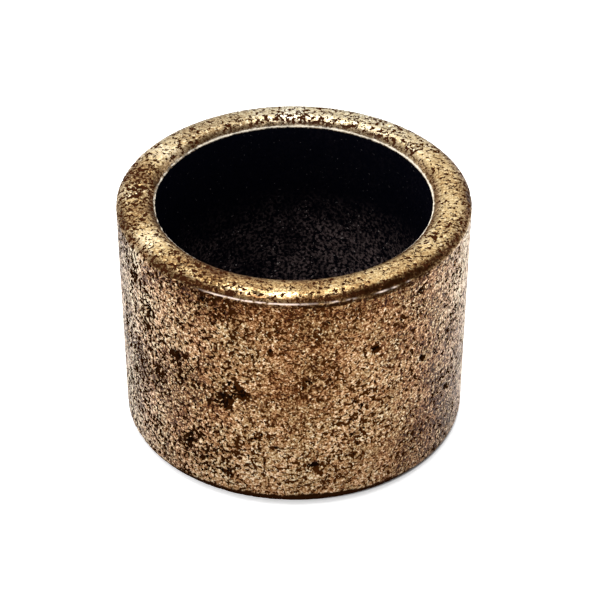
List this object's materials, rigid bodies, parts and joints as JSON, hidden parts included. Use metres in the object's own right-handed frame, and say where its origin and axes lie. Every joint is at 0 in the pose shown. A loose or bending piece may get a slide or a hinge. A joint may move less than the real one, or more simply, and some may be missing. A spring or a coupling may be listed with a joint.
{
  "type": "sintered bronze sleeve bushing",
  "caption": "Short plain sleeve bushing of porous sintered bronze with a straight through bore and softly rounded chamfers at both ends.",
  "frame": {"origin": "on the bore axis, in the plane of the bottom end face", "axes": "+Z along the bore axis, from the bottom end face to the top one; the part is round, so +X and +Y have no feature of their own"},
  "size_m": [0.018, 0.018, 0.013],
  "materials": {
    "sintered_bronze": "porous sintered bronze, satin with bright worn grains, dark open pores and a film of oil"
  },
  "bodies": {
    "root": {"bushing": "sintered_bronze"}
  },
  "joints": []
}
